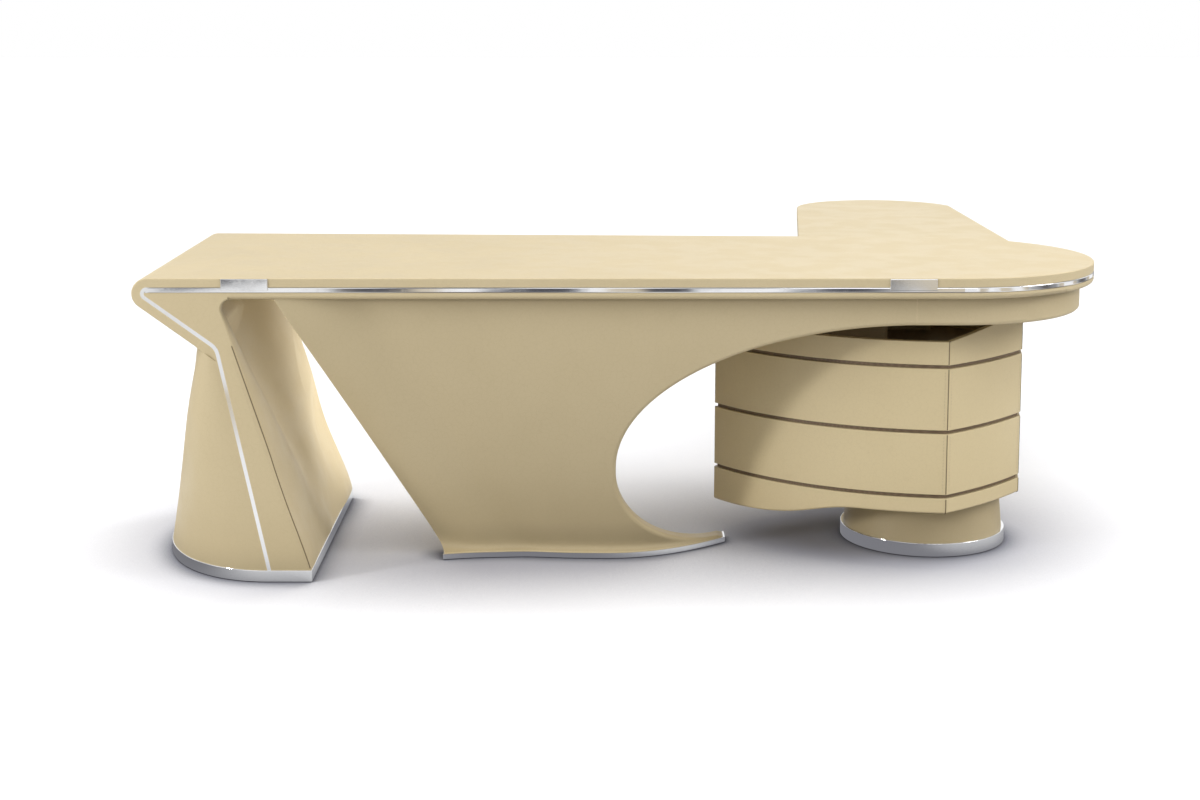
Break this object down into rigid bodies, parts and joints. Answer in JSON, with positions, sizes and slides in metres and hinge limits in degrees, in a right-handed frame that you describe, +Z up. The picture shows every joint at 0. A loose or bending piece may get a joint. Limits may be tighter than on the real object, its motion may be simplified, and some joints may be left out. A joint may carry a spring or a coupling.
{
  "type": "l-shaped executive desk",
  "caption": "Cream leather executive desk with a top that folds into its leg, a sculpted front panel, chrome edging, a curved drawer cabinet and a lower return.",
  "frame": {"origin": "on the floor, under the middle of the desk's bounding box", "axes": "+X along the desk towards its round end, +Y from the visitor's side to the seat side, +Z up"},
  "size_m": [2.4099, 2.2846, 0.755],
  "materials": {
    "leather": "fine-grained cream leather over board",
    "cabinet_leather": "fine-grained cream leather over board",
    "block_leather": "fine-grained cream leather over board",
    "chrome": "polished",
    "dark_deck": "dark brown stain",
    "core_wood": "bare board",
    "drawer_wood": "clear lacquer",
    "rail_steel": "black powder coat",
    "runner_steel": "zinc plated",
    "glide": "plain"
  },
  "bodies": {
    "desk": {"cabinet_base": "cabinet_leather", "cabinet_rim": "cabinet_leather", "clasp_left": "chrome", "clasp_right": "chrome", "core_board": "core_wood", "deck_bottom": "dark_deck", "deck_middle": "dark_deck", "deck_top": "dark_deck", "desktop": "leather", "edge_strip": "chrome", "end_apron": "leather", "foot_drum": "leather", "foot_glides": "glide", "foot_ring": "chrome", "front_block": "block_leather", "front_panel": "leather", "inlay_front": "chrome", "inlay_rear": "chrome", "leg_core": "leather", "leg_glides": "glide", "leg_plinth": "chrome", "leg_shell": "leather", "lower_slab": "leather", "panel_base": "chrome", "panel_batten": "core_wood", "panel_glides": "glide", "rear_block": "block_leather", "return_core": "core_wood", "return_glides": "glide", "return_leg": "leather", "return_lower": "leather", "return_ring": "chrome", "return_slab": "leather", "return_strip": "chrome", "runners_lower": "runner_steel", "runners_upper": "runner_steel", "steel_rail": "rail_steel", "walls_lower": "cabinet_leather", "walls_upper": "cabinet_leather"},
    "drawer_upper": {"drawer_upper_back": "drawer_wood", "drawer_upper_floor": "drawer_wood", "drawer_upper_front": "cabinet_leather", "drawer_upper_sides": "drawer_wood", "slides_upper": "runner_steel"},
    "drawer_lower": {"drawer_lower_back": "drawer_wood", "drawer_lower_floor": "drawer_wood", "drawer_lower_front": "cabinet_leather", "drawer_lower_sides": "drawer_wood", "slides_lower": "runner_steel"}
  },
  "joints": [
    {"name": "drawer_upper_slide", "type": "slide", "parent": "desk", "child": "drawer_upper", "axis": [-0.5158, 0.8567, 0], "range_m": [0, 0.28]},
    {"name": "drawer_lower_slide", "type": "slide", "parent": "desk", "child": "drawer_lower", "axis": [-0.5158, 0.8567, 0], "range_m": [0, 0.28]}
  ]
}
